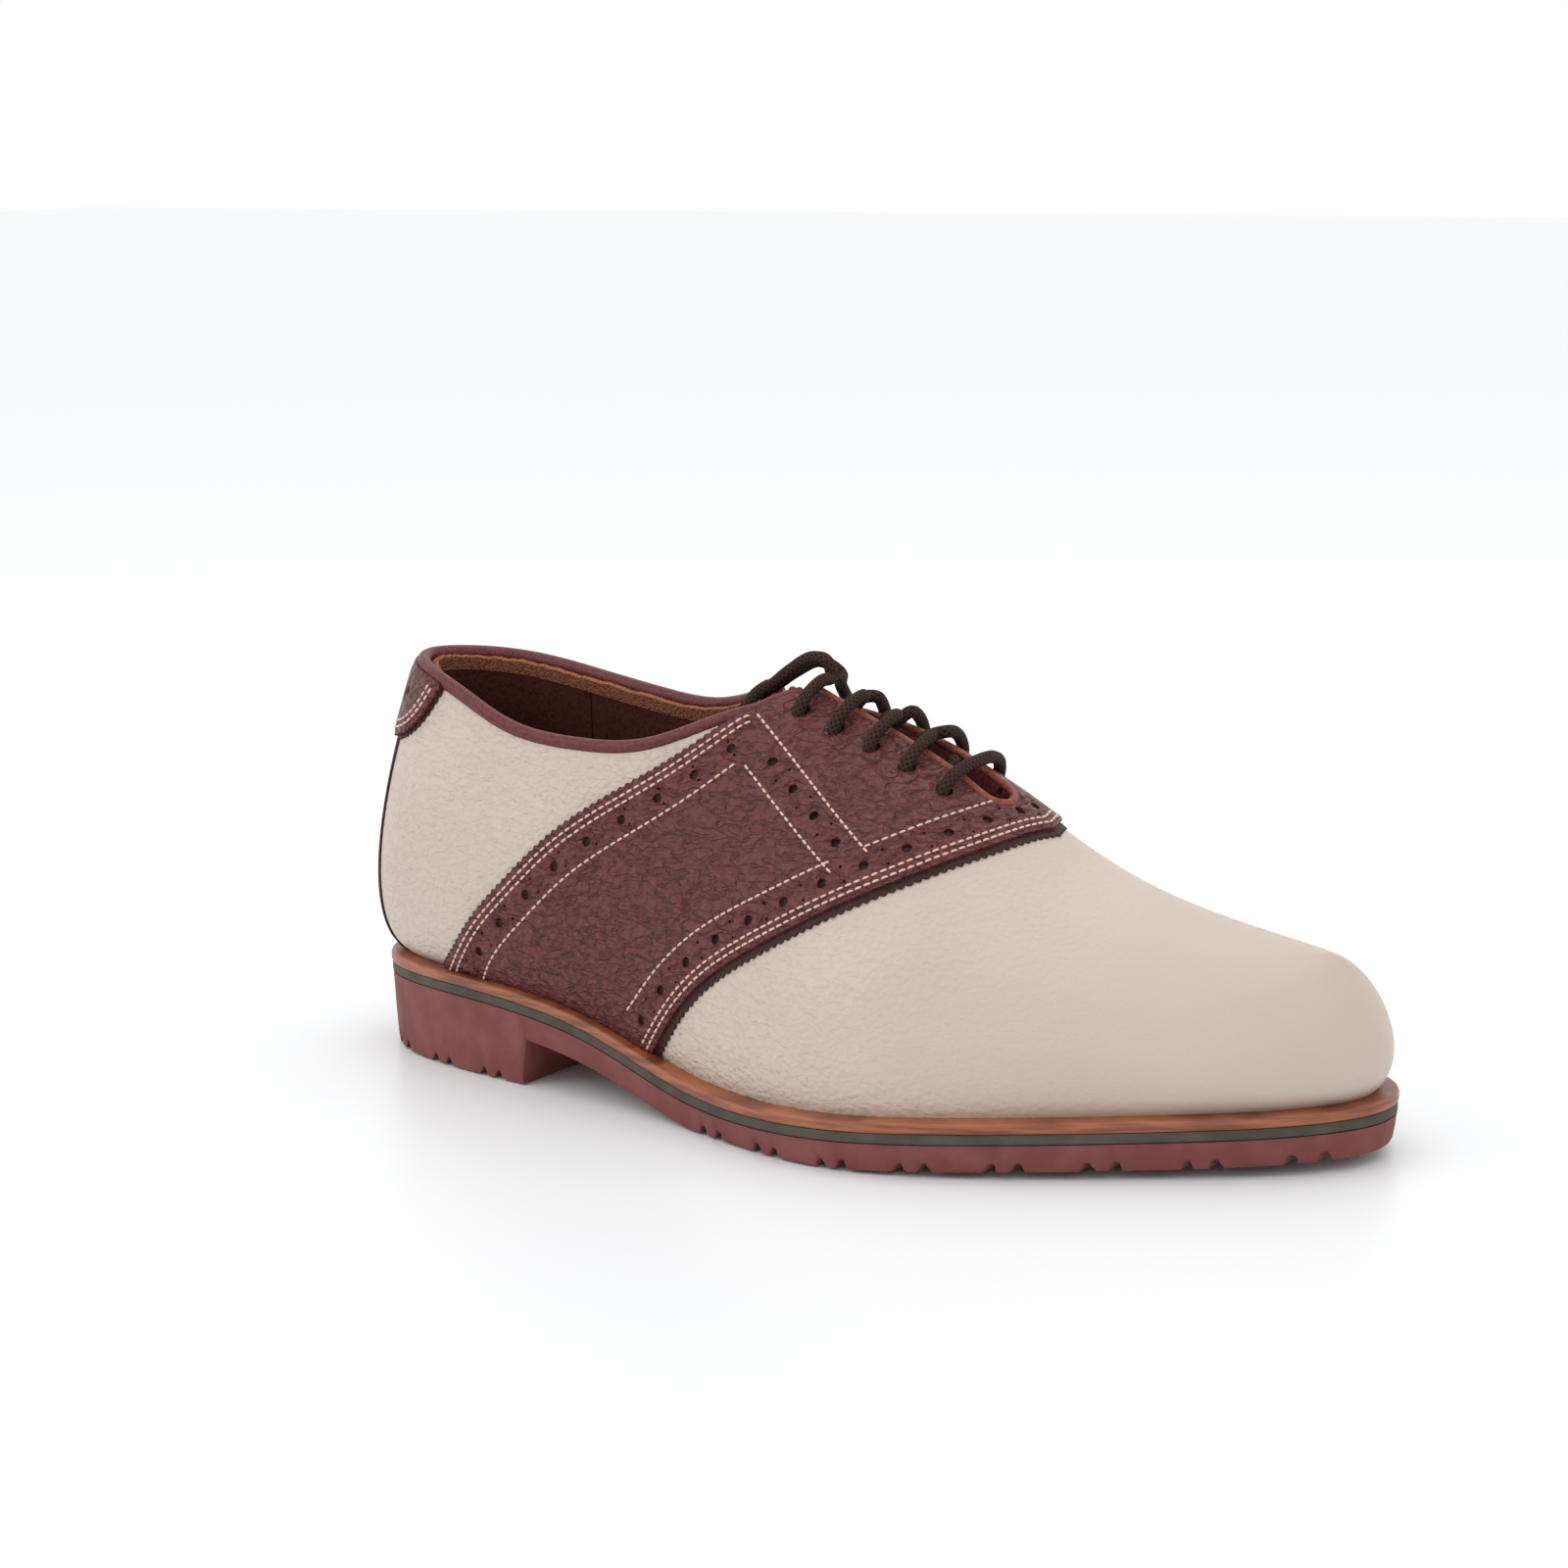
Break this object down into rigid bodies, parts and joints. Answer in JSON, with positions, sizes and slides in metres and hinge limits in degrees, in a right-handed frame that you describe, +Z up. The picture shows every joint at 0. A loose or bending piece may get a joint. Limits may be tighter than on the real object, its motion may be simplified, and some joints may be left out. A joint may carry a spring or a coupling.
{
  "type": "golf shoe",
  "caption": "Low lace-up saddle golf shoe for the right foot, with brogued saddle, stitched welt and one-piece grooved rubber sole and heel.",
  "frame": {"origin": "centre of the bounding box on the ground plane the sole stands on", "axes": "+X towards the toe, +Y towards the medial (inner) side of the foot, +Z up"},
  "size_m": [0.3078, 0.116, 0.1198],
  "materials": {
    "outsole_rubber": "matt moulded brick rubber",
    "midsole_rubber": "matt dark crepe sheet",
    "welt_leather": "burnished cognac veg-tan leather",
    "cork": "pressed granulated cork",
    "shank_steel": "plain spring steel",
    "fibreboard": "leatherboard",
    "lining_leather": "dark brown lining leather",
    "cream_leather": "cream pebbled leather, semi-gloss",
    "oxblood_leather": "oxblood pebbled leather, semi-gloss",
    "edging_leather": "dark brown pinked edging",
    "stiffener": "stiffened canvas",
    "binding_leather": "rolled oxblood binding",
    "tan_leather": "rolled tan binding",
    "lace_cotton": "waxed round braided cotton",
    "eyelet_brass": "antique brass",
    "aglet_plastic": "clear-coated dark tip"
  },
  "bodies": {
    "shoe": {"outsole": "outsole_rubber", "midsole": "midsole_rubber", "welt": "welt_leather", "cork_filler": "cork", "shank": "shank_steel", "insole_board": "fibreboard", "sock_liner": "lining_leather", "vamp": "cream_leather", "saddle": "oxblood_leather", "saddle_front_gimp": "edging_leather", "back_strip": "edging_leather", "back_patch": "oxblood_leather", "heel_counter": "stiffener", "toe_puff": "stiffener", "heel_lining": "lining_leather", "vamp_lining": "lining_leather", "topline_binding": "binding_leather", "throat_binding": "tan_leather", "lace": "lace_cotton", "quarter_lateral": "cream_leather", "saddle_rear_gimp_lateral": "edging_leather", "saddle_doubler_lateral": "stiffener", "quarter_lining_lateral": "lining_leather", "aglet_lateral": "aglet_plastic", "eyelet_lateral_1": "eyelet_brass", "eyelet_lateral_2": "eyelet_brass", "eyelet_lateral_3": "eyelet_brass", "eyelet_lateral_4": "eyelet_brass", "eyelet_lateral_5": "eyelet_brass", "quarter_medial": "cream_leather", "saddle_rear_gimp_medial": "edging_leather", "saddle_doubler_medial": "stiffener", "quarter_lining_medial": "lining_leather", "aglet_medial": "aglet_plastic", "eyelet_medial_1": "eyelet_brass", "eyelet_medial_2": "eyelet_brass", "eyelet_medial_3": "eyelet_brass", "eyelet_medial_4": "eyelet_brass", "eyelet_medial_5": "eyelet_brass"},
    "tongue": {"tongue": "oxblood_leather"}
  },
  "joints": [
    {"name": "tongue_hinge", "type": "hinge", "parent": "shoe", "child": "tongue", "pos_m": [0.0545, 0.007, 0.0695], "axis": [0, 1, 0], "range_deg": [-12, 0], "stiffness_Nm_per_rad": 0.15}
  ]
}
